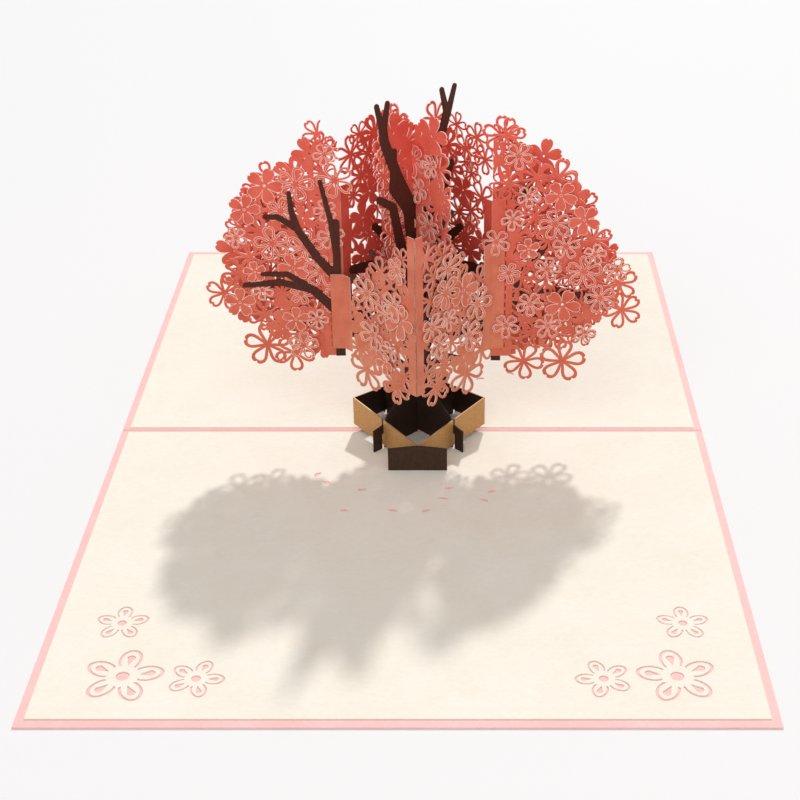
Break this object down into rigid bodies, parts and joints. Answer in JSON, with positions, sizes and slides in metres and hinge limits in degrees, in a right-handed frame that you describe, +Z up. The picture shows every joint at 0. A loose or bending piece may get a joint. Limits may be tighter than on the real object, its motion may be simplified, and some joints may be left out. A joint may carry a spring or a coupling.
{
  "type": "pop-up card",
  "caption": "Folded greeting card lying open with a cut-paper blossom tree standing up from a slotted lattice base on its fold.",
  "frame": {"origin": "middle of the card's fold, on the underside of the cover", "axes": "+X along the fold to the viewer's right, +Y across the fold toward the back leaf, +Z up out of the open card"},
  "size_m": [0.2, 0.3, 0.1209],
  "materials": {
    "pink_card": "smooth matte card, pale pink",
    "cream_card": "fine felt-marked paper, warm cream",
    "gold_card": "pearl gold outside, dark brown inside",
    "brown_card": "matte dark brown card",
    "coral_paper": "laser-cut matte coral paper"
  },
  "bodies": {
    "root": {"cover": "pink_card", "front_inner_sheet": "cream_card", "back_inner_sheet": "cream_card", "base_left_strip": "gold_card", "base_right_strip": "gold_card", "base_front_band": "brown_card", "base_back_band": "brown_card", "trunk_sheet_a": "brown_card", "trunk_sheet_b": "brown_card", "front_vee_branches": "brown_card", "back_vee_branches": "brown_card", "left_wing_branches": "brown_card", "right_wing_branches": "brown_card", "front_vee_blossoms": "coral_paper", "back_vee_blossoms": "coral_paper", "crown_blossoms_a": "coral_paper", "crown_blossoms_b": "coral_paper", "left_wing_blossoms": "coral_paper", "left_wing_rear_blossoms": "coral_paper", "right_wing_blossoms": "coral_paper", "right_wing_rear_blossoms": "coral_paper"}
  },
  "joints": []
}
